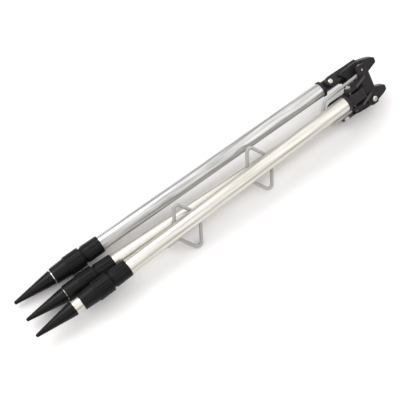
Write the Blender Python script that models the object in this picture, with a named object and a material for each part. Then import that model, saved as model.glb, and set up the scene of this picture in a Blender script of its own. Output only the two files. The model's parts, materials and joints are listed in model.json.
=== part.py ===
"""Folding feeder-rod tripod, lying folded on a table.

Three two-section telescopic legs hang in the clevises of a moulded head. The head carries a
two-horned rod fork and a pair of wire rod rests that fold down between the legs.

Frame: +X runs from the feet to the horns, +Z is up, and the table is the plane z = 0.
All sizes are in metres.
"""
from math import atan2, ceil, cos, degrees, pi, radians, sin, sqrt, tan

import bmesh
import bpy
from mathutils import Matrix, Vector

# ---------------------------------------------------------------- general fits
GAP = 0.0003            # clearance between pieces that touch or rest on each other
SLIDE_GAP = 0.0004      # clearance round a sliding or turning piece
ROUND = 24              # sides of a turned piece

# ---------------------------------------------------------------- telescopic legs
TUBE_RADIUS = 0.0110            # upper tube, outside
TUBE_WALL = 0.0010
TUBE_LENGTH = 0.420             # upper tube, whole length
INNER_RADIUS = TUBE_RADIUS - TUBE_WALL - 0.0005             # lower tube, outside
INNER_WALL = 0.0009
INNER_LENGTH = 0.430
MAX_EXTENSION = 0.300           # travel of the lower tube from fully closed
LEG_OUT = {"left": 0.0015, "right": 0.0006, "rear": 0.0120}   # how far each is drawn out here

# ---------------------------------------------------------------- hinge plug in each upper tube
HINGE_TO_TUBE = 0.0130          # hinge axis to the end of the upper tube
FLANGE_RADIUS = TUBE_RADIUS + 0.0014
FLANGE_THICKNESS = 0.0040
SPIGOT_LENGTH = 0.026
TONGUE_WIDTH = 0.0160
TONGUE_DEPTH = 0.0160
TONGUE_REACH = 0.0200           # how far the tongue runs past its bolt
BOLT_RADIUS = 0.0025
PLUG_HOLE_RADIUS = 0.0034       # worn wide, which is why the legs lie a little askew

# ---------------------------------------------------------------- twist lock
SOCKET_RADIUS = TUBE_RADIUS + 0.0018           # fixed collar at the tube's lower end
SOCKET_LENGTH = 0.0270
SOCKET_OVERLAP = 0.0230         # how far the tube enters the collar
THREAD_RADIUS = TUBE_RADIUS + 0.0010
THREAD_LENGTH = 0.0170
LOCK_GROOVE = 0.0040            # open band between the collar and the nut
NUT_RADIUS = THREAD_RADIUS + 0.0027
NUT_LENGTH = 0.0250
NOSE_LENGTH = 0.0230
NOSE_RADIUS_TOP = NUT_RADIUS - 0.0012
NOSE_RADIUS_END = INNER_RADIUS + 0.0026
RIB_COUNT = 10
RIB_DEPTH = 0.0007
COLLET_LENGTH = 0.0150
COLLET_WALL = 0.0014
BUSH_LENGTH = 0.0180            # guide bush on top of the lower tube

# ---------------------------------------------------------------- foot spike
SPIKE_LENGTH = 0.0620
SPIKE_RADIUS = INNER_RADIUS + 0.0013
SPIKE_TIP_RADIUS = 0.0023
SPIKE_SPIGOT = 0.0200

# ---------------------------------------------------------------- head
HINGE_CIRCLE = 0.0265           # head's centre line to each hinge bolt
HINGE_RISE = {"left": 0.0, "right": 0.0, "rear": 0.0080}
CHEEK_GAP = 0.0250              # between the cheeks of a clevis
CHEEK_WALL = 0.0045
CHEEK_REACH = 0.0080            # cheek's material outside the bolt's axis
CHEEK_INSIDE = 0.0057           # and on the inner side
DECK_BOTTOM = 0.0340            # deck's faces, above the side hinges
DECK_TOP = 0.0515
FRONT_FACE = 0.0080             # fork and deck face, towards the rear leg
FORK_THICKNESS = 0.0110
BAR_FRONT = 0.0172              # raised bar over the wires' eyes
BAR_BOTTOM = 0.0375
BAR_HALF_WIDTH = 0.0330
BOSS_HEIGHT = 0.0014
NOTCH_BOTTOM = 0.0560
NOTCH_HALF_WIDTH = 0.0115
HORN_TIP = 0.0785
HORN_TIP_INSIDE = 0.0195
HORN_TIP_OUTSIDE = 0.0285
FORK_HALF_WIDTH = 0.0365
SKIRT_BOTTOM = 0.0140           # lower corner of each side skirt

# ---------------------------------------------------------------- wire rod rests
WIRE_RADIUS = 0.0026
PIVOT_HEIGHT = 0.0478
PIVOT_SPREAD = 0.0245           # head's centre line to each pivot screw
WIRE_LEVEL = 0.0105             # the wires' eyes, towards the rear leg
SLOT_ABOVE = 0.0006             # clearance in front of a wire in its slot
SLOT_INSIDE = 0.0058            # room on the inner side, for the droop
SLOT_BELOW = 0.0014             # and behind it, where the wire leans
PIVOT_SCREW_RADIUS = 0.0022
STRAIGHT_RUN = 0.0730           # eye to the inward bend
BACK_HALF_GAP = 0.0042          # head's centre line to a wire's back run
BUMP_STATIONS = (0.2110, 0.3460)
BUMP_HEIGHT = 0.0300
BUMP_HALF_ANGLE = radians(30)
BUMP_TIP_BEND = 0.0062
WIRE_BEND = 0.0070
WIRE_TAIL = 0.0200
WIRE_DROOP = {"left": radians(4.6), "right": radians(4.4)}     # hung over towards the table
WIRE_TILT = {"left": radians(1.3), "right": radians(-0.3)}    # leaning away from the rear leg

# ---------------------------------------------------------------- screws
HEAD_RADIUS = 0.0042
HEAD_HEIGHT = 0.0024
NUT_ACROSS = 0.0046             # hexagon's corner radius
NUT_THICKNESS = 0.0034
CROSS_WIDTH = 0.0011
CROSS_REACH = 0.0023
CROSS_DEPTH = 0.0013

# ---------------------------------------------------------------- how it lies on the table
HEAD_ROLL = radians(46)         # the head leans this far about +X
LEFT_SPREAD = 0.0030            # bare space between the left and right nuts
LEFT_LIFT = 0.0006              # the left leg slopes, so its nut stands on its lower edge
REAR_LEAN = radians(27.5)       # the rear nut rests this high on the right one
RIGHT_STEP = -0.0022            # right nut's place across the table, from the head's centre

LEGS = ("left", "right", "rear")
CLEVIS_TURN = {"left": radians(-120), "right": radians(120), "rear": 0.0}

# ---------------------------------------------------------------- worked-out places on a leg
TUBE_TOP = -HINGE_TO_TUBE
SOCKET_TOP = TUBE_TOP - GAP - TUBE_LENGTH + SOCKET_OVERLAP
SOCKET_END = SOCKET_TOP - SOCKET_LENGTH
NUT_TOP = SOCKET_END - LOCK_GROOVE
NUT_END = NUT_TOP - NUT_LENGTH
NOSE_END = NUT_END - NOSE_LENGTH
NUT_MIDDLE = (NUT_TOP + NUT_END) / 2
TUBE_BORE = TUBE_RADIUS - TUBE_WALL
INNER_BORE = INNER_RADIUS - INNER_WALL
CLEVIS_HALF = CHEEK_GAP / 2 + CHEEK_WALL


# ================================================================ modelling helpers
def clear_scene():
    """Remove every object that the file starts with."""
    for obj in list(bpy.data.objects):
        bpy.data.objects.remove(obj, do_unlink=True)


def plain_material(name, colour, roughness, metallic):
    """A Principled material of one colour."""
    material = bpy.data.materials.new(name)
    material.use_nodes = True
    shader = material.node_tree.nodes["Principled BSDF"]
    shader.inputs["Base Color"].default_value = (*colour, 1.0)
    shader.inputs["Roughness"].default_value = roughness
    shader.inputs["Metallic"].default_value = metallic
    return material


def empty(name, parent=None, matrix=Matrix.Identity(4)):
    """An empty that carries a sub-assembly; its place is given in its parent's frame."""
    obj = bpy.data.objects.new(name, None)
    bpy.context.scene.collection.objects.link(obj)
    obj.parent = parent
    obj.matrix_local = matrix
    return obj


def object_from_bmesh(bm, name):
    """Close a bmesh into a new object with its faces pointing out."""
    bmesh.ops.recalc_face_normals(bm, faces=bm.faces)
    mesh = bpy.data.meshes.new(name)
    bm.to_mesh(mesh)
    bm.free()
    obj = bpy.data.objects.new(name, mesh)
    bpy.context.scene.collection.objects.link(obj)
    return obj


def finish(obj, parent, material, smooth_angle=30):
    """Hang a finished piece on its parent, shade it and give it its material."""
    obj.parent = parent
    obj.data.materials.clear()
    obj.data.materials.append(material)
    if obj.type == "MESH":
        obj.data.shade_smooth()
        obj.data.set_sharp_from_angle(angle=radians(smooth_angle))
    return obj


def turned(name, profile, sides=ROUND, radius_at=None):
    """Turn a closed (x, radius) profile about the X axis.

    A point on the axis becomes one vertex. radius_at(radius, angle), where it is given,
    changes the radius round the turn, which makes ribs and flats.
    """
    bm = bmesh.new()
    rings = []
    for x, radius in profile:
        if radius == 0:
            rings.append([bm.verts.new((x, 0, 0))])
            continue
        ring = []
        for k in range(sides):
            angle = 2 * pi * k / sides
            r = radius_at(x, radius, angle) if radius_at else radius
            ring.append(bm.verts.new((x, r * cos(angle), r * sin(angle))))
        rings.append(ring)
    pairs = list(zip(rings, rings[1:] + rings[:1]))
    for a, b in pairs:
        if len(a) == 1 and len(b) == 1:
            continue
        for k in range(sides):
            j = (k + 1) % sides
            if len(a) == 1:
                bm.faces.new((a[0], b[j], b[k]))
            elif len(b) == 1:
                bm.faces.new((a[k], a[j], b[0]))
            else:
                bm.faces.new((a[k], a[j], b[j], b[k]))
    return object_from_bmesh(bm, name)


def prism(name, outline, low, high, place):
    """Extrude a flat outline between two heights; place maps (u, v, height) to x, y, z."""
    bm = bmesh.new()
    bottom = [bm.verts.new(place(u, v, low)) for u, v in outline]
    top = [bm.verts.new(place(u, v, high)) for u, v in outline]
    bm.faces.new(bottom)
    bm.faces.new(list(reversed(top)))
    for k in range(len(outline)):
        j = (k + 1) % len(outline)
        bm.faces.new((bottom[k], bottom[j], top[j], top[k]))
    return object_from_bmesh(bm, name)


def rod(name, start, end, radius, sides=ROUND):
    """A plain round bar between two points."""
    start = Vector(start)
    run = Vector(end) - start
    bar = turned(name, [(0, 0), (0, radius), (run.length, radius), (run.length, 0)], sides)
    bar.data.transform(Matrix.Translation(start) @ run.to_track_quat("X", "Z").to_matrix().to_4x4())
    return bar


def block(name, low, high):
    """A box between two corners."""
    outline = [(low[0], low[1]), (high[0], low[1]), (high[0], high[1]), (low[0], high[1])]
    return prism(name, outline, low[2], high[2], lambda u, v, h: (u, v, h))


def combine(base, others, operation):
    """Join or cut meshes into base with exact booleans, and drop the pieces used."""
    for other in others:
        modifier = base.modifiers.new(operation.lower(), "BOOLEAN")
        modifier.operation = operation
        modifier.object = other
        modifier.solver = "EXACT"
        bpy.context.view_layer.update()
        result = base.evaluated_get(bpy.context.evaluated_depsgraph_get())
        mesh = bpy.data.meshes.new_from_object(result)
        base.modifiers.clear()
        base.data = mesh
        bpy.data.objects.remove(other, do_unlink=True)
    return base


def arc(centre, radius, start, end, steps):
    """Points of a flat arc, both ends included."""
    step = (end - start) / steps
    return [(centre[0] + radius * cos(start + step * k), centre[1] + radius * sin(start + step * k))
            for k in range(steps + 1)]


def rounded_path(points, radii, steps=4):
    """Replace each inner corner of a flat path by an arc of its own radius."""
    path = [Vector(points[0])]
    for before, corner, after, radius in zip(points, points[1:], points[2:], radii):
        corner = Vector(corner)
        back = (Vector(before) - corner).normalized()
        ahead = (Vector(after) - corner).normalized()
        half = back.angle(ahead) / 2
        centre = corner + (back + ahead).normalized() * (radius / sin(half))
        first = corner + back * (radius / tan(half)) - centre
        last = corner + ahead * (radius / tan(half)) - centre
        turn = first.angle_signed(last)
        for k in range(steps + 1):
            bend = Matrix.Rotation(-turn * k / steps, 2)
            path.append(centre + bend @ first)
    path.append(Vector(points[-1]))
    return path


# ================================================================ frames
def clevis_matrix(leg):
    """Frame of a clevis in the head's frame: origin on the bolt, y along it, z outwards."""
    turn = Matrix.Rotation(CLEVIS_TURN[leg], 4, "X")
    return turn @ Matrix.Translation((HINGE_RISE[leg], 0, HINGE_CIRCLE))


def head_matrix():
    """Head's frame: the right leg's flange touches the table."""
    down = clevis_matrix("right").to_translation()
    down.x = 0
    down = Matrix.Rotation(HEAD_ROLL, 3, "X") @ down
    return Matrix.Translation((0, 0, FLANGE_RADIUS - down.z)) @ Matrix.Rotation(HEAD_ROLL, 4, "X")


def nut_centre(leg):
    """Where the middle of a leg's lock nut lies on the table."""
    right = Vector((0, RIGHT_STEP, NUT_RADIUS))
    reach = 2 * NUT_RADIUS + GAP
    if leg == "left":
        right.y += reach + LEFT_SPREAD
        right.z += LEFT_LIFT
    if leg == "rear":
        right.y -= reach * cos(REAR_LEAN)
        right.z += reach * sin(REAR_LEAN)
    right.x = NUT_MIDDLE
    return right


def leg_matrix(leg):
    """Frame of a leg in the assembly: origin on its bolt, +x up the tube, y close to the bolt."""
    clevis = head_matrix() @ clevis_matrix(leg)
    hinge = clevis.to_translation()
    along = (hinge - nut_centre(leg)).normalized()
    outward = along.cross(clevis.to_3x3() @ Vector((0, 1, 0))).normalized()
    across = outward.cross(along)
    turn = Matrix((along, across, outward)).transposed().to_4x4()
    return Matrix.Translation(hinge) @ turn


# ================================================================ leg pieces
def hinge_plug(leg):
    """Tongue, flange and spigot that close the upper tube and carry the leg's hinge."""
    spigot_radius = TUBE_BORE - GAP
    flange_top = TUBE_TOP + FLANGE_THICKNESS
    body = turned("hinge_plug_" + leg, [
        (TUBE_TOP - SPIGOT_LENGTH, 0), (TUBE_TOP - SPIGOT_LENGTH, spigot_radius * 0.94),
        (TUBE_TOP - SPIGOT_LENGTH * 0.94, spigot_radius), (TUBE_TOP, spigot_radius),
        (TUBE_TOP, FLANGE_RADIUS), (flange_top - 0.0008, FLANGE_RADIUS),
        (flange_top, FLANGE_RADIUS - 0.0008), (flange_top, 0)])
    half_width = TONGUE_WIDTH / 2
    half_depth = TONGUE_DEPTH / 2
    corner = 0.0030
    end = TONGUE_REACH - corner
    outline = ([(flange_top - 0.0020, -half_depth)]
               + arc((end, -half_depth + corner), corner, -pi / 2, 0, 4)
               + arc((end, half_depth - corner), corner, 0, pi / 2, 4)
               + [(flange_top - 0.0020, half_depth)])
    tongue = prism("tongue", outline, -half_width, half_width, lambda u, v, h: (u, h, v))
    combine(body, [tongue], "UNION")
    hole = rod("hole", (0, -half_width * 2, 0), (0, half_width * 2, 0), PLUG_HOLE_RADIUS, 20)
    return combine(body, [hole], "DIFFERENCE")


def outer_tube(leg):
    """Upper tube: an open pipe from the plug's flange into the lock collar."""
    top = TUBE_TOP - GAP
    return turned("outer_tube_" + leg, [
        (top, TUBE_RADIUS), (top, TUBE_BORE),
        (top - TUBE_LENGTH, TUBE_BORE), (top - TUBE_LENGTH, TUBE_RADIUS)])


def ribbed(depth, count, low, high):
    """Radius rule that sinks narrow flutes between low and high stations."""
    def rule(x, radius, angle):
        if not low <= x <= high or radius < THREAD_RADIUS:
            return radius
        phase = (angle * count / (2 * pi) + 0.05) % 1.0
        return radius - depth if phase < 0.3 else radius
    return rule


def lock_socket(leg):
    """Collar fixed on the upper tube, with the threaded tail that the nut runs on."""
    bore = TUBE_RADIUS + GAP
    shoulder = TUBE_TOP - GAP - TUBE_LENGTH - GAP
    edge = 0.0005
    tail_end = SOCKET_END - THREAD_LENGTH
    rule = ribbed(RIB_DEPTH, RIB_COUNT, SOCKET_END + edge, SOCKET_TOP - 2 * edge)
    return turned("lock_socket_" + leg, [
        (SOCKET_TOP, bore), (SOCKET_TOP, SOCKET_RADIUS - edge),
        (SOCKET_TOP - 2 * edge, SOCKET_RADIUS), (SOCKET_END + edge, SOCKET_RADIUS + 0.0004),
        (SOCKET_END, SOCKET_RADIUS - edge), (SOCKET_END, THREAD_RADIUS),
        (tail_end, THREAD_RADIUS), (tail_end, INNER_RADIUS + SLIDE_GAP),
        (shoulder, INNER_RADIUS + SLIDE_GAP), (shoulder, bore)], 3 * RIB_COUNT, rule)


def lock_collet(leg):
    """Split ring that the nut squeezes on to the lower tube."""
    top = SOCKET_END - THREAD_LENGTH - GAP
    bore = INNER_RADIUS + SLIDE_GAP
    rim = bore + COLLET_WALL
    ring = turned("lock_collet_" + leg, [
        (top, bore), (top, rim), (top - COLLET_LENGTH * 0.35, rim),
        (top - COLLET_LENGTH, bore + COLLET_WALL * 0.6), (top - COLLET_LENGTH, bore)])
    slit = block("slit", (top - COLLET_LENGTH * 1.2, -0.0006, 0), (top + 0.001, 0.0006, rim * 1.5))
    return combine(ring, [slit], "DIFFERENCE")


def lock_nut(leg):
    """Twist nut: a fluted grip that steps down to a tapered nose."""
    edge = 0.0010
    thread = THREAD_RADIUS + SLIDE_GAP
    seat = SOCKET_END - THREAD_LENGTH - 2 * GAP - COLLET_LENGTH - SLIDE_GAP
    bore = INNER_RADIUS + SLIDE_GAP
    rule = ribbed(RIB_DEPTH, 2 * RIB_COUNT, NUT_END + edge / 2, NUT_TOP - edge / 2)

    def nut_rule(x, radius, angle):
        return rule(x, radius, angle) if radius > NOSE_RADIUS_TOP else radius

    return turned("lock_nut_" + leg, [
        (NUT_TOP, thread), (NUT_TOP, NUT_RADIUS - edge), (NUT_TOP - edge, NUT_RADIUS),
        (NUT_END + edge, NUT_RADIUS), (NUT_END, NUT_RADIUS - edge), (NUT_END, NOSE_RADIUS_TOP),
        (NOSE_END + edge, NOSE_RADIUS_END), (NOSE_END, NOSE_RADIUS_END - edge),
        (NOSE_END, bore), (seat, bore), (seat, thread)], 40, nut_rule)


def inner_tube(leg):
    """Lower tube, drawn out by the leg's own amount."""
    low = NOSE_END - LEG_OUT[leg]
    return turned("inner_tube_" + leg, [
        (low + INNER_LENGTH, INNER_RADIUS), (low + INNER_LENGTH, INNER_BORE),
        (low, INNER_BORE), (low, INNER_RADIUS)])


def guide_bush(leg):
    """Plastic bush on the lower tube's top end, running inside the upper tube."""
    top = NOSE_END - LEG_OUT[leg] + INNER_LENGTH + GAP
    rim = TUBE_BORE - SLIDE_GAP / 2
    stem = INNER_BORE - GAP
    return turned("guide_bush_" + leg, [
        (top + 0.0030, stem * 0.7), (top + 0.0030, rim - 0.0005), (top + 0.0025, rim),
        (top, rim), (top, stem), (top - BUSH_LENGTH, stem), (top - BUSH_LENGTH, stem * 0.7)])


def foot_spike(leg):
    """Conical ground spike plugged into the lower tube."""
    base = NOSE_END - LEG_OUT[leg] - GAP
    stem = INNER_BORE - GAP
    tip = base - SPIKE_LENGTH
    blunt = SPIKE_TIP_RADIUS * 0.55
    return turned("foot_spike_" + leg, [
        (base + SPIKE_SPIGOT, 0), (base + SPIKE_SPIGOT, stem * 0.9),
        (base + SPIKE_SPIGOT * 0.9, stem), (base, stem), (base, SPIKE_RADIUS - 0.0004),
        (base - 0.0004, SPIKE_RADIUS), (base - 0.0022, SPIKE_RADIUS),
        (tip + blunt, SPIKE_TIP_RADIUS), (tip + 0.0002, SPIKE_TIP_RADIUS - blunt * 0.6),
        (tip, SPIKE_TIP_RADIUS - blunt), (tip, 0)])


# ================================================================ screws
def cross_recess(face, depth):
    """Two crossed bars that cut a driver's recess into a face across the X axis."""
    half = CROSS_WIDTH / 2
    bars = [block("bar", (face - depth, -CROSS_REACH, -half), (face + depth, CROSS_REACH, half)),
            block("bar", (face - depth, -half, -CROSS_REACH), (face + depth, half, CROSS_REACH))]
    return combine(bars[0], bars[1:], "UNION")


def pan_screw(name, radius, length):
    """Pan-head screw along -X: its head sits on x = 0 and its shank runs down."""
    dome = arc((0, 0), 1.0, 0.35, pi / 2, 4)
    profile = [(-length, 0), (-length, radius * 0.8), (-length + radius * 0.3, radius), (0, radius),
               (0, HEAD_RADIUS)]
    profile += [(HEAD_HEIGHT * v, HEAD_RADIUS * (0.45 + 0.55 * u)) for u, v in dome]
    profile += [(HEAD_HEIGHT, 0)]
    screw = turned(name, profile, 24)
    return combine(screw, [cross_recess(HEAD_HEIGHT, CROSS_DEPTH)], "DIFFERENCE")


def hex_nut(name, bore):
    """Hexagon nut between x = 0 and its own thickness."""
    nut = turned(name, [(0, 0), (0, NUT_ACROSS), (NUT_THICKNESS, NUT_ACROSS), (NUT_THICKNESS, 0)], 6)
    hole = rod("hole", (-NUT_THICKNESS, 0, 0), (2 * NUT_THICKNESS, 0, 0), bore, 20)
    return combine(nut, [hole], "DIFFERENCE")


def add_hinge_bolt(leg, head, metal):
    """Bolt and nut through one clevis; the bolt's head is on the clevis's -y side."""
    seat = CLEVIS_HALF + GAP
    reach = 2 * seat + NUT_THICKNESS + 0.0008
    along_y = Matrix.Rotation(-pi / 2, 4, "Z")
    bolt = pan_screw("hinge_bolt_" + leg, BOLT_RADIUS, reach)
    bolt.matrix_local = clevis_matrix(leg) @ Matrix.Translation((0, -seat, 0)) @ along_y
    finish(bolt, head, metal)
    nut = hex_nut("hinge_nut_" + leg, BOLT_RADIUS + GAP)
    nut.matrix_local = clevis_matrix(leg) @ Matrix.Translation((0, seat + NUT_THICKNESS, 0)) @ along_y
    finish(nut, head, metal)


# ================================================================ head
def fork_outline():
    """Front outline of the fork, skirts and horns, as (x, y), one closed loop."""
    side = [(NOTCH_BOTTOM, NOTCH_HALF_WIDTH), (HORN_TIP - 0.0012, HORN_TIP_INSIDE - 0.0004),
            (HORN_TIP, HORN_TIP_INSIDE + 0.0010), (HORN_TIP, HORN_TIP_OUTSIDE - 0.0018),
            (HORN_TIP - 0.0022, HORN_TIP_OUTSIDE + 0.0002)]
    shoulder = PIVOT_HEIGHT - 0.006
    for k in range(1, 7):
        share = k / 6
        x = HORN_TIP + (shoulder - HORN_TIP) * share
        y = HORN_TIP_OUTSIDE + (FORK_HALF_WIDTH - HORN_TIP_OUTSIDE) * sin(share * pi / 2)
        side.append((x, y))
    side += [(SKIRT_BOTTOM + 0.008, FORK_HALF_WIDTH - 0.0010), (SKIRT_BOTTOM, FORK_HALF_WIDTH - 0.0030),
             (DECK_BOTTOM + 0.002, NOTCH_HALF_WIDTH + 0.0005)]
    return side + [(x, -y) for x, y in reversed(side)]


def deck_outline():
    """Outline of the deck in the head's (y, z) plane: it ties the three clevises together."""
    reach = HINGE_CIRCLE + CHEEK_REACH
    corners = [(FORK_HALF_WIDTH - 0.0025, FRONT_FACE - 0.0002)]
    for across in (-1, 1):
        side = Matrix.Rotation(CLEVIS_TURN["left"], 3, "X") @ Vector((0, across * CLEVIS_HALF, reach))
        corners.append((side.y, side.z))
    return corners + [(-y, z) for y, z in reversed(corners)]


def cheek_outline(leg):
    """Side view of a clevis cheek as (x, z) about the bolt: a round end and a sloping back."""
    end = arc((0, 0), CHEEK_REACH, pi / 2, pi, 5)
    inner = arc((0, 0), CHEEK_INSIDE + 0.0008, pi, 3 * pi / 2, 4)
    if leg == "rear":
        root = DECK_TOP - HINGE_RISE[leg] - 0.001
        sunk = FRONT_FACE - HINGE_CIRCLE - 0.003
        crest = BAR_FRONT - HINGE_CIRCLE - 0.0015
        return ([(root, crest), (0.010, CHEEK_REACH)] + end + inner[1:]
                + [(DECK_BOTTOM - HINGE_RISE[leg] - 0.006, -CHEEK_INSIDE - 0.0008),
                   (DECK_BOTTOM - HINGE_RISE[leg] + 0.003, sunk), (root, sunk)])
    root = DECK_BOTTOM + 0.004
    return ([(root, CHEEK_REACH - 0.0006), (root - 0.012, CHEEK_REACH)] + end + inner[1:]
            + [(root - 0.014, -CHEEK_INSIDE - 0.0008), (root, -0.014)])


def clevis_cheeks(leg):
    """Two cheeks of a clevis, in the head's frame, still without their bolt hole."""
    outline = cheek_outline(leg)
    cheeks = []
    for side in (-1, 1):
        low, high = sorted((side * CHEEK_GAP / 2, side * CLEVIS_HALF))
        cheek = prism("cheek", outline, low, high, lambda u, v, h: (u, h, v))
        cheek.data.transform(clevis_matrix(leg))
        cheeks.append(cheek)
    return cheeks


def head_bar():
    """Raised bar across the fork's foot, with its outer corners cut off."""
    top = NOTCH_BOTTOM - 0.0001
    cut = 0.0040
    outline = [(BAR_BOTTOM, -BAR_HALF_WIDTH + cut), (BAR_BOTTOM, BAR_HALF_WIDTH - cut),
               (BAR_BOTTOM + cut, BAR_HALF_WIDTH), (top - cut, BAR_HALF_WIDTH),
               (top, BAR_HALF_WIDTH - cut), (top, -BAR_HALF_WIDTH + cut),
               (top - cut, -BAR_HALF_WIDTH), (BAR_BOTTOM + cut, -BAR_HALF_WIDTH)]
    return prism("bar", outline, FRONT_FACE - 0.003, BAR_FRONT, lambda u, v, h: (u, v, h))


def head_body():
    """Moulded head: fork, deck, side slots for the wires and three clevises, in one piece."""
    back_face = FRONT_FACE - FORK_THICKNESS
    body = prism("head_body", fork_outline(), back_face, FRONT_FACE, lambda u, v, h: (u, v, h))
    deck = prism("deck", deck_outline(), DECK_BOTTOM, DECK_TOP, lambda u, v, h: (h, u, v))
    boss_place = (PIVOT_HEIGHT, -PIVOT_SPREAD)
    boss = rod("boss", (*boss_place, BAR_FRONT - 0.002), (*boss_place, BAR_FRONT + BOSS_HEIGHT), 0.0065, 24)
    pieces = [deck, head_bar(), boss]
    for leg in LEGS:
        pieces += clevis_cheeks(leg)
    combine(body, pieces, "UNION")

    eye_reach = PIVOT_SCREW_RADIUS + GAP + 2 * WIRE_RADIUS
    slot_low = WIRE_LEVEL - WIRE_RADIUS - SLOT_BELOW
    slot_high = WIRE_LEVEL + WIRE_RADIUS + SLOT_ABOVE
    cutters = []
    for side in (-1, 1):
        inner, outer = sorted((side * (PIVOT_SPREAD - eye_reach - SLOT_INSIDE), side * 0.060))
        cutters.append(block("slot", (-0.012, inner, slot_low),
                             (PIVOT_HEIGHT + eye_reach + 0.0008, outer, slot_high)))
        pivot = (PIVOT_HEIGHT, side * PIVOT_SPREAD)
        cutters.append(rod("hole", (*pivot, back_face - 0.02), (*pivot, BAR_FRONT + 0.02),
                           PIVOT_SCREW_RADIUS + GAP, 20))
    pocket_top = (PIVOT_HEIGHT, PIVOT_SPREAD, back_face)
    cutters.append(rod("pocket", (PIVOT_HEIGHT, PIVOT_SPREAD, -0.06), pocket_top,
                       HEAD_RADIUS + 0.0012, 24))
    for leg in LEGS:
        hole = rod("hole", (0, -2 * CLEVIS_HALF, 0), (0, 2 * CLEVIS_HALF, 0), BOLT_RADIUS + GAP, 20)
        hole.data.transform(clevis_matrix(leg))
        cutters.append(hole)
        window = block("window", (-0.030, -CHEEK_GAP / 2, -0.0180),
                       (DECK_BOTTOM - HINGE_RISE[leg], CHEEK_GAP / 2, CHEEK_REACH + 0.004))
        window.data.transform(clevis_matrix(leg))
        cutters.append(window)
    return combine(body, cutters, "DIFFERENCE")


# ================================================================ wire rod rests
def wire_path():
    """Flat centre line of a rod rest about its pivot: eye, inward bend, back run and two bumps.

    It runs along -x with its outer side at +y.
    """
    eye = PIVOT_SCREW_RADIUS + GAP + WIRE_RADIUS
    back = -(PIVOT_SPREAD - BACK_HALF_GAP)
    drop = -eye - back
    points = [(0.0, -eye), (-STRAIGHT_RUN, -eye), (-STRAIGHT_RUN - drop, back)]
    radii = [WIRE_BEND, WIRE_BEND]
    peak = BUMP_HEIGHT + BUMP_TIP_BEND * (1 / sin(BUMP_HALF_ANGLE) - 1)
    half = peak * tan(BUMP_HALF_ANGLE)
    for station in BUMP_STATIONS:
        points += [(-station + half, back), (-station, back + peak), (-station - half, back)]
        radii += [WIRE_BEND, BUMP_TIP_BEND, WIRE_BEND]
    points.append((-BUMP_STATIONS[-1] - half - WIRE_TAIL, back))
    ring = [Vector(p) for p in arc((0, 0), eye, radians(160), radians(-90), 10)]
    return ring[:-1] + rounded_path(points, radii)


def rod_rest(side, head, material):
    """Wire rod rest, hung from its pivot screw; side is +1 on the left and -1 on the right."""
    end = "left" if side > 0 else "right"
    name = "rod_rest_" + end
    curve = bpy.data.curves.new(name, "CURVE")
    curve.dimensions = "3D"
    curve.bevel_depth = WIRE_RADIUS
    curve.bevel_resolution = 2
    curve.use_fill_caps = True
    path = wire_path()
    spline = curve.splines.new("POLY")
    spline.points.add(len(path) - 1)
    for point, place in zip(spline.points, path):
        point.co = (place.x, side * place.y, 0, 1)
    wire = bpy.data.objects.new(name, curve)
    bpy.context.scene.collection.objects.link(wire)
    pivot = Matrix.Translation((PIVOT_HEIGHT, side * PIVOT_SPREAD, WIRE_LEVEL))
    lean = Matrix.Rotation(-WIRE_TILT[end], 4, "Y")
    wire.matrix_local = pivot @ lean @ Matrix.Rotation(WIRE_DROOP[end], 4, "Z")
    return finish(wire, head, material)


def add_pivot_screws(head, metal):
    """One screw through each wire's eye: the right one goes in from the front, the left from behind."""
    back_face = FRONT_FACE - FORK_THICKNESS
    seat = BAR_FRONT + BOSS_HEIGHT + GAP
    front = pan_screw("pivot_screw_right", PIVOT_SCREW_RADIUS, seat - back_face - 0.0010)
    front.matrix_local = (Matrix.Translation((PIVOT_HEIGHT, -PIVOT_SPREAD, seat))
                          @ Matrix.Rotation(-pi / 2, 4, "Y"))
    finish(front, head, metal)
    rear = pan_screw("pivot_screw_left", PIVOT_SCREW_RADIUS, BAR_FRONT - back_face - 0.0012)
    rear.matrix_local = (Matrix.Translation((PIVOT_HEIGHT, PIVOT_SPREAD, back_face - GAP))
                         @ Matrix.Rotation(pi / 2, 4, "Y"))
    finish(rear, head, metal)


# ================================================================ assembly
def stand_on_origin(root):
    """Shift the whole part so that the middle of its footprint is the origin and z = 0 its bottom."""
    bpy.context.view_layer.update()
    graph = bpy.context.evaluated_depsgraph_get()
    low = Vector((1e9, 1e9, 1e9))
    high = -low
    for obj in bpy.data.objects:
        if obj.type not in {"MESH", "CURVE"}:
            continue
        solid = obj.evaluated_get(graph)
        mesh = solid.to_mesh()
        for vertex in mesh.vertices:
            place = solid.matrix_world @ vertex.co
            low = Vector(map(min, low, place))
            high = Vector(map(max, high, place))
        solid.to_mesh_clear()
    root.location = (-(low.x + high.x) / 2, -(low.y + high.y) / 2, -low.z)


def main():
    clear_scene()
    black = plain_material("black_plastic", (0.018, 0.018, 0.020), 0.45, 0.0)
    aluminium = plain_material("aluminium", (0.80, 0.79, 0.77), 0.32, 1.0)
    steel = plain_material("plated_steel", (0.72, 0.70, 0.66), 0.25, 1.0)
    coated = plain_material("coated_wire", (0.66, 0.66, 0.63), 0.45, 0.0)
    natural = plain_material("natural_plastic", (0.62, 0.60, 0.54), 0.5, 0.0)

    root = empty("tripod")
    head = empty("head", root, head_matrix())
    finish(head_body(), head, black)
    for leg in LEGS:
        add_hinge_bolt(leg, head, steel)
    add_pivot_screws(head, steel)
    for side in (1, -1):
        rod_rest(side, head, coated)

    for leg in LEGS:
        frame = empty("leg_" + leg, root, leg_matrix(leg))
        finish(hinge_plug(leg), frame, black)
        finish(outer_tube(leg), frame, aluminium)
        finish(lock_socket(leg), frame, black)
        finish(lock_collet(leg), frame, natural)
        finish(lock_nut(leg), frame, black)
        finish(inner_tube(leg), frame, aluminium)
        finish(guide_bush(leg), frame, natural)
        finish(foot_spike(leg), frame, black)
    stand_on_origin(root)


if __name__ == "__main__":
    main()
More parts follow.
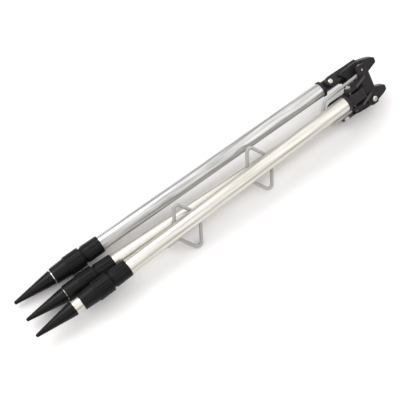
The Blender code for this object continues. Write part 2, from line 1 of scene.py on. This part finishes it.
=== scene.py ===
"""Visual model of a folded fishing rod tripod, built over its CAD frame.

The turned and bent pieces are rebuilt as smooth parametric surfaces. The moulded head, the
hinge plugs and the hexagon nuts keep their CAD meshes and gain small rounded edges.
"""
import json
import logging
from dataclasses import dataclass, field
from enum import Enum
from math import cos, pi, radians, sin, tan

import bpy
import numpy as np
from numpy.typing import NDArray
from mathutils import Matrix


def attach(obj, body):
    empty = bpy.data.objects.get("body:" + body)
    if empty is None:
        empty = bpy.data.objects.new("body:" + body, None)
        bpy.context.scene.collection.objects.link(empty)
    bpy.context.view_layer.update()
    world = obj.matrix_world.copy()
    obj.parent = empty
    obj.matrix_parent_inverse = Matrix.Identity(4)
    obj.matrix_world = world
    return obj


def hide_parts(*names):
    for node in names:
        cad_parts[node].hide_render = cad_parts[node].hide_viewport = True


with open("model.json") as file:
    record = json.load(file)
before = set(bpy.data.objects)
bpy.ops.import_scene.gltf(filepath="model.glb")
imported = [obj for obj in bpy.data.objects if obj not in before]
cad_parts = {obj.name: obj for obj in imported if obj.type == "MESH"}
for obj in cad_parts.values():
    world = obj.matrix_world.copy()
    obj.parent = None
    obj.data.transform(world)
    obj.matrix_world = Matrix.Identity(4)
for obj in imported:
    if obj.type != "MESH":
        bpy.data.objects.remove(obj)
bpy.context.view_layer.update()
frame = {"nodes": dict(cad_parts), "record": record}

LOG = logging.getLogger("tripod")
Grid = NDArray[np.float64]
GAP = 0.0003
TURN_STEPS = 96


# ---------------------------------------------------------------- materials
class Graph:
    """A small builder for a material's shader nodes."""

    def __init__(self, name: str) -> None:
        """Start a material that holds only a Principled shader and its output.

        Args:
            name: The material's name.
        """
        self.material = bpy.data.materials.new(name)
        self.material.use_nodes = True
        self.tree = self.material.node_tree
        self.shader = self.tree.nodes["Principled BSDF"]

    def add(self, kind: str, **settings: object) -> bpy.types.Node:
        """Add a node and set its properties.

        Args:
            kind: The node's Blender type name.
            **settings: Properties to set on the node.

        Returns:
            The new node.
        """
        node = self.tree.nodes.new(kind)
        for key, value in settings.items():
            setattr(node, key, value)
        return node

    def link(self, source: bpy.types.NodeSocket, target: bpy.types.NodeSocket) -> None:
        """Join two sockets."""
        self.tree.links.new(source, target)

    def noise(self, scale: float, detail: float, stretch: tuple[float, float, float]) -> bpy.types.NodeSocket:
        """Add noise on Object coordinates.

        Args:
            scale: Cells per metre before stretching.
            detail: Octaves of finer noise.
            stretch: Factor along each axis; a small factor makes long streaks along that axis.

        Returns:
            The noise value's socket.
        """
        coordinates = self.add("ShaderNodeTexCoord")
        mapping = self.add("ShaderNodeMapping")
        mapping.inputs["Scale"].default_value = stretch
        texture = self.add("ShaderNodeTexNoise")
        texture.inputs["Scale"].default_value = scale
        texture.inputs["Detail"].default_value = detail
        self.link(coordinates.outputs["Object"], mapping.inputs["Vector"])
        self.link(mapping.outputs["Vector"], texture.inputs["Vector"])
        return texture.outputs["Fac"]

    def ramp(self, value: bpy.types.NodeSocket, low: tuple[float, ...], high: tuple[float, ...],
             start: float = 0.3, end: float = 0.7) -> bpy.types.NodeSocket:
        """Map a value between two colours.

        Args:
            value: The socket to map.
            low: Colour at and below start.
            high: Colour at and above end.
            start: Value that gives the low colour.
            end: Value that gives the high colour.

        Returns:
            The colour's socket.
        """
        ramp = self.add("ShaderNodeValToRGB")
        ramp.color_ramp.elements[0].position = start
        ramp.color_ramp.elements[1].position = end
        ramp.color_ramp.elements[0].color = (*low, 1.0)
        ramp.color_ramp.elements[1].color = (*high, 1.0)
        self.link(value, ramp.inputs["Fac"])
        return ramp.outputs["Color"]

    def bump(self, value: bpy.types.NodeSocket, strength: float, height: float) -> None:
        """Drive the shader's normal from a height value.

        Args:
            value: The height's socket.
            strength: Share of the full effect.
            height: Height in metres of a value of one.
        """
        bump = self.add("ShaderNodeBump")
        bump.inputs["Strength"].default_value = strength
        bump.inputs["Distance"].default_value = height
        self.link(value, bump.inputs["Height"])
        self.link(bump.outputs["Normal"], self.shader.inputs["Normal"])


@dataclass(frozen=True)
class Plastic:
    """Moulded plastic: faint patches of wear and a fine grain."""

    name: str
    dark: tuple[float, float, float]
    light: tuple[float, float, float]
    roughness: float
    grain: float = 0.00005
    sheen_level: float = 0.18

    def build(self) -> bpy.types.Material:
        """Make the material."""
        graph = Graph(self.name)
        patches = graph.noise(38.0, 4.0, (1.0, 1.0, 1.0))
        graph.link(graph.ramp(patches, self.dark, self.light), graph.shader.inputs["Base Color"])
        spread = graph.add("ShaderNodeMapRange")
        spread.inputs["To Min"].default_value = self.roughness - 0.06
        spread.inputs["To Max"].default_value = self.roughness + 0.08
        graph.link(patches, spread.inputs["Value"])
        graph.link(spread.outputs["Result"], graph.shader.inputs["Roughness"])
        graph.shader.inputs["Specular IOR Level"].default_value = self.sheen_level
        graph.bump(graph.noise(1900.0, 2.0, (1.0, 1.0, 1.0)), 0.5, self.grain)
        return graph.material


@dataclass(frozen=True)
class Anodised:
    """Drawn and anodised aluminium: satin, with streaks along the tube that are partly drawn marks and partly
    painted reflection bands.
    """

    name: str
    dark: tuple[float, float, float]
    light: tuple[float, float, float]
    roughness: float
    metallic: float = 0.85

    def build(self) -> bpy.types.Material:
        """Make the material; its streaks, partly drawn marks and partly painted reflection bands, run along
        the piece's X axis.
        """
        graph = Graph(self.name)
        # Dark and light streaks along the tube: partly drawn marks, partly painted reflection bands that
        # stand in for the dark surroundings mirrored in the metal.
        drawn_streaks_and_painted_reflections = graph.noise(230.0, 3.0, (0.012, 1.0, 1.0))
        graph.link(graph.ramp(drawn_streaks_and_painted_reflections, self.dark, self.light), graph.shader.inputs["Base Color"])
        graph.shader.inputs["Metallic"].default_value = self.metallic
        graph.shader.inputs["Roughness"].default_value = self.roughness
        graph.bump(graph.noise(900.0, 2.0, (0.01, 1.0, 1.0)), 0.25, 0.00003)
        return graph.material


@dataclass(frozen=True)
class Plated:
    """Bright nickel plating with slight smudges."""

    name: str
    colour: tuple[float, float, float]
    roughness: float

    def build(self) -> bpy.types.Material:
        """Make the material."""
        graph = Graph(self.name)
        smudges = graph.noise(260.0, 3.0, (1.0, 1.0, 1.0))
        darker = tuple(0.72 * c for c in self.colour)
        graph.link(graph.ramp(smudges, darker, self.colour), graph.shader.inputs["Base Color"])
        graph.shader.inputs["Metallic"].default_value = 1.0
        graph.shader.inputs["Roughness"].default_value = self.roughness
        return graph.material


class Finish(Enum):
    """The finishes used on the tripod."""

    HEAD = Plastic("head_plastic", (0.0120, 0.0104, 0.0114), (0.0240, 0.0214, 0.0232), 0.36, 0.00005, 0.26)
    LOCK = Plastic("lock_plastic", (0.0030, 0.0028, 0.0030), (0.0066, 0.0062, 0.0066), 0.40)
    SPIKE = Plastic("spike_plastic", (0.0026, 0.0026, 0.0028), (0.0055, 0.0054, 0.0058), 0.30)
    WIRE = Plastic("wire_coating", (0.36, 0.36, 0.34), (0.46, 0.46, 0.44), 0.38, 0.00002, 0.4)
    NATURAL = Plastic("natural_plastic", (0.55, 0.53, 0.48), (0.63, 0.61, 0.56), 0.5)
    TUBE_WARM = Anodised("tube_warm", (0.55, 0.525, 0.465), (0.80, 0.775, 0.72), 0.34)
    TUBE_COOL = Anodised("tube_cool", (0.36, 0.365, 0.37), (0.70, 0.69, 0.67), 0.30)
    SCREW = Plated("nickel_plate", (0.80, 0.76, 0.69), 0.22)


MATERIALS: dict[Finish, bpy.types.Material] = {finish: finish.value.build() for finish in Finish}


# ---------------------------------------------------------------- surfaces
@dataclass(frozen=True)
class Frame3:
    """A place and three directions in the row frame."""

    origin: Grid
    along: Grid
    across: Grid
    out: Grid

    def place(self, local: Grid) -> Grid:
        """Move points from this frame into the row frame.

        Args:
            local: Points in this frame, with x, y and z in the last axis.

        Returns:
            The same points in the row frame.
        """
        return self.origin + local @ np.stack([self.along, self.across, self.out])


def unit(vector: Grid) -> Grid:
    """The vector at length one."""
    return vector / np.linalg.norm(vector)


def frame_from(origin: Grid, along: Grid, near_across: Grid) -> Frame3:
    """Build a right-handed frame.

    Args:
        origin: The frame's place.
        along: Its x direction.
        near_across: A direction close to its y direction.

    Returns:
        The frame, with y as near to near_across as it can be.
    """
    x = unit(np.asarray(along, float))
    z = unit(np.cross(x, np.asarray(near_across, float)))
    return Frame3(np.asarray(origin, float), x, np.cross(z, x), z)


def make_piece(name: str, points: Grid, closed_rows: bool, finish: Finish, node: str | None,
               body: str) -> bpy.types.Object:
    """Make a smooth mesh from a grid of points that wraps round in its second parameter.

    Args:
        name: The piece's name.
        points: Rows by columns by xyz, in the row frame. Columns wrap round.
        closed_rows: True if the rows wrap round too, so that the surface is a ring. If not,
            the first and last rows are closed by a fan to their centre.
        finish: The piece's finish.
        node: The CAD node that the piece stands for, if any.
        body: The CAD body that the piece rides on.

    Returns:
        The new object.
    """
    rows, columns, _ = points.shape
    vertices = points.reshape(-1, 3)
    i = np.arange(rows if closed_rows else rows - 1)[:, None]
    j = np.arange(columns)[None, :]
    right = (j + 1) % columns
    below = (i + 1) % rows
    quads = np.stack([i * columns + j, i * columns + right, below * columns + right,
                      below * columns + j], axis=-1).reshape(-1, 4)
    faces = quads.tolist()
    if not closed_rows:
        ends = np.stack([points[0].mean(axis=0), points[-1].mean(axis=0)])
        first, last = rows * columns, rows * columns + 1
        vertices = np.concatenate([vertices, ends])
        k = np.arange(columns)
        nxt = (k + 1) % columns
        low = np.stack([np.full(columns, first), nxt, k], axis=-1)
        top = (rows - 1) * columns
        high = np.stack([np.full(columns, last), top + k, top + nxt], axis=-1)
        faces += low.tolist() + high.tolist()
    mesh = bpy.data.meshes.new(name)
    mesh.from_pydata(vertices.tolist(), [], faces)
    mesh.update()
    corners = vertices[quads]
    first_edge = corners[:, 1] - corners[:, 0]
    second_edge = corners[:, 3] - corners[:, 0]
    volume = float(np.einsum("ij,ij->i", np.cross(first_edge, second_edge), corners[:, 0]
                             - vertices.mean(axis=0)).sum())
    if volume < 0:
        mesh.flip_normals()
    mesh.shade_smooth()
    mesh.set_sharp_from_angle(angle=radians(32))
    mesh.materials.append(MATERIALS[finish])
    piece = bpy.data.objects.new(name, mesh)
    bpy.context.scene.collection.objects.link(piece)
    if node is not None:
        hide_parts(node)
    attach(piece, body)
    LOG.info("%s: %d vertices on %s", name, len(vertices), body)
    return piece


def rounded(profile: list[tuple[float, float, float]], steps: int = 5) -> Grid:
    """Round the corners of a profile that wraps round or runs between two ends.

    Each corner is replaced by points on a quadratic curve from one tangent point to the other,
    with the corner as its control point.

    Args:
        profile: Points as x, radius and the length cut off each side of the corner.
        steps: Pieces in each corner.

    Returns:
        Points as x and radius.
    """
    points = np.array([p[:2] for p in profile])
    out = []
    for k, (_, _, cut) in enumerate(profile):
        corner = points[k]
        if cut <= 0 or k in (0, len(profile) - 1):
            out.append(corner[None])
            continue
        before = corner + unit(points[k - 1] - corner) * cut
        after = corner + unit(points[k + 1] - corner) * cut
        t = np.linspace(0, 1, steps + 1)[:, None]
        out.append((1 - t) ** 2 * before + 2 * t * (1 - t) * corner + t ** 2 * after)
    return np.concatenate(out)


def turned(profile: Grid, place: Frame3, flutes: "Flutes | None" = None) -> Grid:
    """Turn a profile about a frame's x axis.

    The point at profile parameter s and angle a is (x(s), r cos a, r sin a), where r is the
    profile's radius less the flutes' depth there.

    Args:
        profile: Points as x and radius.
        place: The frame of the axis.
        flutes: Flutes to sink into the surface.

    Returns:
        Rows by columns by xyz in the row frame.
    """
    steps = TURN_STEPS if flutes is None else flutes.count * flutes.steps
    angle = np.linspace(0, 2 * pi, steps, endpoint=False)
    x, radius = profile[:, 0][:, None], profile[:, 1][:, None] * np.ones_like(angle)
    if flutes is not None:
        radius = radius - flutes.depth_at(profile[:, 0], profile[:, 1], angle)
    local = np.stack([x * np.ones_like(angle), radius * np.cos(angle), radius * np.sin(angle)], axis=-1)
    return place.place(local)


@dataclass(frozen=True)
class Flutes:
    """Shallow grooves along a turned grip."""

    count: int
    depth: float
    share: float
    low: float
    high: float
    least_radius: float
    fade: float = 0.0012
    steps: int = 14

    def depth_at(self, x: Grid, radius: Grid, angle: Grid) -> Grid:
        """Depth of the groove at each profile point and angle.

        Round the turn the depth is a flat-bottomed trough: a cosine of the flute's phase,
        clipped to the groove's share of the pitch. Along the axis it fades in over a short
        length at each end. It is zero wherever the profile is thinner than least_radius.

        Args:
            x: Profile stations.
            radius: Profile radii.
            angle: Angles round the turn.

        Returns:
            Depths, stations by angles.
        """
        phase = np.cos(angle * self.count)
        edge = cos(pi * self.share)
        trough = np.clip((phase - edge) / (1 - edge) * 2.5, 0, 1)
        along = np.clip((x - self.low) / self.fade, 0, 1) * np.clip((self.high - x) / self.fade, 0, 1)
        along = along * (radius >= self.least_radius)
        return self.depth * along[:, None] * trough[None, :]


def fine_profile(profile: Grid, step: float = 0.0006) -> Grid:
    """Add stations to a profile so that no stretch is longer than a step.

    Args:
        profile: Points as x and radius.
        step: Longest stretch, in metres.

    Returns:
        The denser profile.
    """
    out = [profile[:1]]
    for a, b in zip(profile, profile[1:]):
        count = min(60, max(1, int(np.ceil(np.linalg.norm(b - a) / step))))
        share = np.linspace(0, 1, count + 1)[1:, None]
        out.append(a + (b - a) * share)
    return np.concatenate(out)


# ---------------------------------------------------------------- legs
@dataclass(frozen=True)
class LegSizes:
    """Sizes of one telescopic leg, in metres."""

    tube_top: float = -0.0130
    tube_radius: float = 0.0110
    tube_bore: float = 0.0100
    tube_length: float = 0.420
    inner_radius: float = 0.0095
    inner_bore: float = 0.0086
    inner_length: float = 0.430
    socket_top: float = -0.4103
    socket_end: float = -0.4373
    socket_radius: float = 0.0128
    thread_radius: float = 0.0120
    thread_length: float = 0.0170
    thread_pitch: float = 0.0024
    thread_depth: float = 0.0007
    thread_turns: int = 5
    collet_room: float = 0.0160
    slide_gap: float = 0.0004
    flute_depth: float = 0.0007
    nut_top: float = -0.4413
    nut_end: float = -0.4663
    nut_radius: float = 0.0147
    nose_end: float = -0.4893
    nose_top_radius: float = 0.0135
    nose_end_radius: float = 0.0121
    spike_length: float = 0.0620
    spike_radius: float = 0.0108
    spike_tip: float = 0.0023
    spike_spigot: float = 0.0200


@dataclass
class Leg:
    """One telescopic leg: tubes, twist lock and ground spike."""

    name: str
    drawn_out: float
    tube_finish: Finish
    sizes: LegSizes = field(default_factory=LegSizes)

    def axes(self) -> Frame3:
        """The leg's frame, from its fold and slide joints in the record."""
        joints = {joint["name"]: joint for joint in frame["record"]["behaviour"]["joints"]}
        fold, slide = joints["fold_" + self.name], joints["slide_" + self.name]
        return frame_from(np.array(fold["pos_m"]), -np.array(slide["axis"]), np.array(fold["axis"]))

    def outer_tube(self, place: Frame3) -> None:
        """Upper tube: a pipe with small rounded rims."""
        s = self.sizes
        top, low = s.tube_top - GAP, s.tube_top - GAP - s.tube_length
        rim = 0.0003
        ring = rounded([(top, (s.tube_radius + s.tube_bore) / 2, 0), (top, s.tube_radius, rim),
                        (low, s.tube_radius, rim), (low, s.tube_bore, rim), (top, s.tube_bore, rim),
                        (top, (s.tube_radius + s.tube_bore) / 2 - 0.0001, 0)], 3)
        make_piece("upper_tube_" + self.name, turned(ring, place), True, self.tube_finish,
                   "outer_tube_" + self.name, "leg_" + self.name)

    def socket(self, place: Frame3) -> None:
        """Fixed collar with shallow axial flutes and its threaded tail."""
        s = self.sizes
        edge = 0.0008
        bore = s.tube_radius + GAP
        shoulder = s.tube_top - s.tube_length - 2 * GAP
        tail = s.socket_end - s.thread_length
        clear = s.inner_radius + s.slide_gap
        root = s.thread_radius - s.thread_depth
        outline = [(s.socket_top, (bore + s.socket_radius) / 2, 0), (s.socket_top, s.socket_radius, edge),
                   (s.socket_end, s.socket_radius + 0.0004, edge), (s.socket_end, s.thread_radius, 0.0002)]
        for k in range(1, s.thread_turns + 1):
            x = s.socket_end - 0.0006 - k * s.thread_pitch
            outline += [(x + 0.0016, s.thread_radius, 0.0001), (x + 0.0010, root, 0.0001),
                        (x + 0.0004, root, 0.0001), (x, s.thread_radius, 0.0001)]
        outline += [(tail, s.thread_radius, 0.0003), (tail, clear, 0), (shoulder, clear, 0),
                    (shoulder, bore, 0), (s.socket_top, bore, 0.0003),
                    (s.socket_top, (bore + s.socket_radius) / 2 - 0.0001, 0)]
        flutes = Flutes(10, s.flute_depth, 0.16, s.socket_end + 0.0018, s.socket_top - 0.0022,
                        s.thread_radius + 0.0004)
        profile = fine_profile(rounded(outline, 4))
        make_piece("lock_collar_" + self.name, turned(profile, place, flutes), True, Finish.LOCK,
                   "lock_socket_" + self.name, "leg_" + self.name)

    def nut(self, place: Frame3) -> None:
        """Twist nut: fluted grip, a shoulder and a tapered nose."""
        s = self.sizes
        thread = s.thread_radius + s.slide_gap
        clear = s.inner_radius + s.slide_gap
        seat = s.socket_end - s.thread_length - s.collet_room
        outline = [(s.nut_top, (thread + s.nut_radius) / 2, 0), (s.nut_top, s.nut_radius, 0.0010),
                   (s.nut_end, s.nut_radius, 0.0010), (s.nut_end, s.nose_top_radius, 0.0002),
                   (s.nose_end, s.nose_end_radius, 0.0009), (s.nose_end, clear, 0.0002),
                   (seat, clear, 0), (seat, thread, 0), (s.nut_top, thread, 0.0003),
                   (s.nut_top, (thread + s.nut_radius) / 2 - 0.0001, 0)]
        flutes = Flutes(20, s.flute_depth, 0.22, s.nut_end + 0.0020, s.nut_top - 0.0020,
                        s.nose_top_radius + 0.0003)
        profile = fine_profile(rounded(outline, 5))
        make_piece("twist_nut_" + self.name, turned(profile, place, flutes), True, Finish.LOCK,
                   "lock_nut_" + self.name, "lock_" + self.name)

    def inner_tube(self, place: Frame3) -> None:
        """Lower tube."""
        s = self.sizes
        low = s.nose_end - self.drawn_out
        top = low + s.inner_length
        middle = (s.inner_radius + s.inner_bore) / 2
        ring = rounded([(top, middle, 0), (top, s.inner_radius, 0.0003), (low, s.inner_radius, 0.0003),
                        (low, s.inner_bore, 0.0002), (top, s.inner_bore, 0.0002),
                        (top, middle - 0.0001, 0)], 3)
        make_piece("lower_tube_" + self.name, turned(ring, place), True, self.tube_finish,
                   "inner_tube_" + self.name, "slider_" + self.name)

    def spike(self, place: Frame3) -> None:
        """Ground spike: a long cone with a short cylindrical foot and a blunt tip."""
        s = self.sizes
        base = s.nose_end - self.drawn_out - GAP
        stem = s.inner_bore - GAP
        tip = base - s.spike_length
        outline = [(base + s.spike_spigot, 0.0002, 0), (base + s.spike_spigot, stem, 0.0010), (base, stem, 0),
                   (base, s.spike_radius, 0.0005), (base - 0.0022, s.spike_radius, 0.0014),
                   (tip, s.spike_tip, 0.0014), (tip, 0.0002, 0)]
        profile = rounded(outline, 6)
        make_piece("ground_spike_" + self.name, turned(profile, place), False, Finish.SPIKE,
                   "foot_spike_" + self.name, "slider_" + self.name)

    def build(self) -> None:
        """Build every piece of the leg and finish its remaining CAD nodes."""
        place = self.axes()
        self.outer_tube(place)
        self.socket(place)
        self.nut(place)
        self.inner_tube(place)
        self.spike(place)
        dress("hinge_plug_" + self.name, Finish.HEAD, 0.0006)
        dress("lock_collet_" + self.name, Finish.NATURAL, 0.0)
        dress("guide_bush_" + self.name, Finish.NATURAL, 0.0)


# ---------------------------------------------------------------- rod rests
@dataclass(frozen=True)
class WireSizes:
    """Sizes of one wire rod rest, in metres."""

    radius: float = 0.0026
    eye: float = 0.0051
    straight: float = 0.0730
    spread: float = 0.0245
    back_gap: float = 0.0042
    bumps: tuple[float, float] = (0.2110, 0.3460)
    bump_height: float = 0.0300
    tip_bend: float = 0.0062
    bend: float = 0.0070
    tail: float = 0.0200


@dataclass
class RodRest:
    """A wire rod rest that swings on one screw in the head."""

    name: str
    side: int
    sizes: WireSizes = field(default_factory=WireSizes)

    def path(self) -> Grid:
        """Centre line in the wire's plane about its pivot, as x and y.

        The eye is an arc about the pivot. Every later corner is rounded by an arc that is
        tangent to both of its stretches.
        """
        s = self.sizes
        back = s.back_gap - s.spread
        peak = s.bump_height + s.tip_bend * (1 / sin(radians(30)) - 1)
        half = peak * tan(radians(30))
        points = [(0.0, -s.eye), (-s.straight, -s.eye), (-s.straight + s.eye + back, back)]
        radii = [s.bend, s.bend]
        for station in s.bumps:
            points += [(half - station, back), (-station, back + peak), (-half - station, back)]
            radii += [s.bend, s.tip_bend, s.bend]
        points.append((-s.bumps[-1] - half - s.tail, back))
        turn = np.radians(np.linspace(160, -90, 40))
        ring = np.stack([s.eye * np.cos(turn), s.eye * np.sin(turn)], axis=-1)[:-1]
        out = [ring, np.array(points[:1])]
        corners = [np.array(p) for p in points]
        for before, corner, after, radius in zip(corners, corners[1:], corners[2:], radii):
            u, v = unit(before - corner), unit(after - corner)
            opening = np.arccos(np.clip(u @ v, -1, 1)) / 2
            centre = corner + unit(u + v) * radius / np.sin(opening)
            start = corner + u * radius / np.tan(opening) - centre
            sweep = pi - 2 * opening
            sign = np.sign(u[0] * v[1] - u[1] * v[0])
            t = -sign * np.linspace(0, sweep, 15)
            first = start[0] * np.cos(t) - start[1] * np.sin(t)
            second = start[0] * np.sin(t) + start[1] * np.cos(t)
            out.append(centre + np.stack([first, second], axis=-1))
        out.append(corners[-1][None])
        return np.concatenate(out)

    def build(self) -> None:
        """Sweep the round wire along its path; its ends are a little thinner and closed flat."""
        joints = {joint["name"]: joint for joint in frame["record"]["behaviour"]["joints"]}
        swing = joints["swing_" + self.name]
        z = unit(np.array(swing["axis"]))
        lean = radians(WIRE_DROOP[self.name])
        level = unit(np.cross(np.array([0.0, z[2], -z[1]]), z))
        level = level if level[0] > 0 else -level
        side = np.cross(z, level)
        x = level * cos(lean) + side * sin(lean)
        place = Frame3(np.array(swing["pos_m"]), x, np.cross(z, x), z)
        flat = self.path()
        line = np.stack([flat[:, 0], self.side * flat[:, 1], np.zeros(len(flat))], axis=-1)
        tangent = np.gradient(line, axis=0)
        tangent /= np.linalg.norm(tangent, axis=1)[:, None]
        normal = np.cross(np.array([0.0, 0.0, 1.0]), tangent)
        angle = np.linspace(0, 2 * pi, 28, endpoint=False)
        radius = np.full(len(line), self.sizes.radius)
        radius[[0, -1]] *= 0.86
        ring = (np.cos(angle)[None, :, None] * normal[:, None, :]
                + np.sin(angle)[None, :, None] * np.array([0.0, 0.0, 1.0]))
        grid = line[:, None, :] + radius[:, None, None] * ring
        make_piece("wire_rest_" + self.name, place.place(grid), False, Finish.WIRE,
                   "rod_rest_" + self.name, "arm_" + self.name)


WIRE_DROOP = {"left": 4.6, "right": 4.4}


# ---------------------------------------------------------------- CAD nodes that stay
def dress(node: str, finish: Finish, bevel: float) -> None:
    """Give a CAD node its finish and, where asked, small rounded edges.

    Args:
        node: The node's name.
        finish: The finish.
        bevel: Edge width in metres; zero for none.
    """
    piece = frame["nodes"][node]
    piece.data.materials.clear()
    piece.data.materials.append(MATERIALS[finish])
    if bevel > 0:
        modifier = piece.modifiers.new("edges", "BEVEL")
        modifier.width = bevel
        modifier.segments = 3
        modifier.limit_method = "ANGLE"
        modifier.angle_limit = radians(35)
        modifier.harden_normals = False


class Head:
    """The moulded head with its bolts, nuts and pivot screws."""

    def build(self) -> None:
        """Finish the head's CAD nodes."""
        dress("head_body", Finish.HEAD, 0.0005)
        for leg in ("left", "right", "rear"):
            dress("hinge_bolt_" + leg, Finish.SCREW, 0.0)
            dress("hinge_nut_" + leg, Finish.SCREW, 0.0002)
        for side in ("left", "right"):
            dress("pivot_screw_" + side, Finish.SCREW, 0.0)


# ---------------------------------------------------------------- studio
@dataclass(frozen=True)
class Studio:
    """Pale table, soft lights and the camera."""

    azimuth: float = -37.33
    elevation: float = 64.0
    distance: float = 1.4183
    aim_right: float = -0.23606
    aim_up: float = -0.09492
    shift: tuple[float, float, float] = (0.23800, -0.04839, -0.00023)

    def camera(self) -> None:
        """Set the camera at its place, level, with an 85 mm lens."""
        a, e = radians(self.azimuth), radians(self.elevation)
        right = np.array([cos(a), sin(a), 0.0])
        up = np.array([-sin(a) * sin(e), cos(a) * sin(e), cos(e)])
        back = np.array([sin(a) * cos(e), -cos(a) * cos(e), sin(e)])
        data = bpy.data.cameras.new("camera")
        data.lens = 85.0
        data.sensor_width = 36.0
        data.clip_end = 120.0
        camera = bpy.data.objects.new("camera", data)
        bpy.context.scene.collection.objects.link(camera)
        camera.location = (right * self.aim_right + up * self.aim_up + back * self.distance
                           + np.array(self.shift))
        camera.rotation_euler = (pi / 2 - e, 0.0, a)
        bpy.context.scene.camera = camera

    def area(self, name: str, place: tuple[float, float, float], size: float, power: float,
             colour: tuple[float, float, float]) -> None:
        """Add a square area light that faces the middle of the object."""
        data = bpy.data.lights.new(name, "AREA")
        data.size = size
        data.energy = power
        data.color = colour
        lamp = bpy.data.objects.new(name, data)
        bpy.context.scene.collection.objects.link(lamp)
        lamp.location = place
        aim = np.array([0.0, 0.0, 0.03]) - np.array(place)
        flat = np.hypot(aim[0], aim[1])
        lamp.rotation_euler = (np.arctan2(flat, -aim[2]), 0.0, np.arctan2(-aim[0], aim[1]))

    def build(self) -> None:
        """Build the floor, the lights, the surroundings and the camera."""
        mesh = bpy.data.meshes.new("floor")
        half = 40.0
        mesh.from_pydata([(-half, -half, 0), (half, -half, 0), (half, half, 0), (-half, half, 0)], [],
                         [(0, 1, 2, 3)])
        floor = bpy.data.objects.new("floor", mesh)
        bpy.context.scene.collection.objects.link(floor)
        graph = Graph("floor_paper")
        graph.shader.inputs["Base Color"].default_value = (0.92, 0.905, 0.90, 1.0)
        graph.shader.inputs["Roughness"].default_value = 0.9
        graph.shader.inputs["Specular IOR Level"].default_value = 0.1
        mesh.materials.append(graph.material)
        world = bpy.data.worlds.new("studio")
        world.use_nodes = True
        tree = world.node_tree
        background = tree.nodes["Background"]
        background.inputs["Strength"].default_value = 1.22
        direction = tree.nodes.new("ShaderNodeTexCoord")
        split = tree.nodes.new("ShaderNodeSeparateXYZ")
        ramp = tree.nodes.new("ShaderNodeValToRGB")
        ramp.color_ramp.elements[0].position = 0.05
        ramp.color_ramp.elements[0].color = (0.07, 0.06, 0.055, 1.0)
        ramp.color_ramp.elements[1].position = 0.62
        ramp.color_ramp.elements[1].color = (1.0, 1.0, 1.0, 1.0)
        tree.links.new(direction.outputs["Generated"], split.inputs["Vector"])
        tree.links.new(split.outputs["Z"], ramp.inputs["Fac"])
        tree.links.new(ramp.outputs["Color"], background.inputs["Color"])
        bpy.context.scene.world = world
        bpy.context.scene.view_settings.view_transform = "Standard"
        self.area("key", (-0.5, 1.1, 1.5), 1.0, 13.0, (1.0, 0.99, 0.97))
        self.area("fill", (0.9, -1.0, 1.2), 1.4, 3.0, (0.97, 0.98, 1.0))
        self.camera()


def main() -> None:
    """Build the tripod in order."""
    logging.basicConfig(level=logging.INFO)
    for leg in (Leg("left", 0.0015, Finish.TUBE_COOL), Leg("right", 0.0006, Finish.TUBE_WARM),
                Leg("rear", 0.0120, Finish.TUBE_WARM)):
        leg.build()
    for rest in (RodRest("left", 1), RodRest("right", -1)):
        rest.build()
    Head().build()
    Studio().build()


if __name__ == "__main__":
    main()
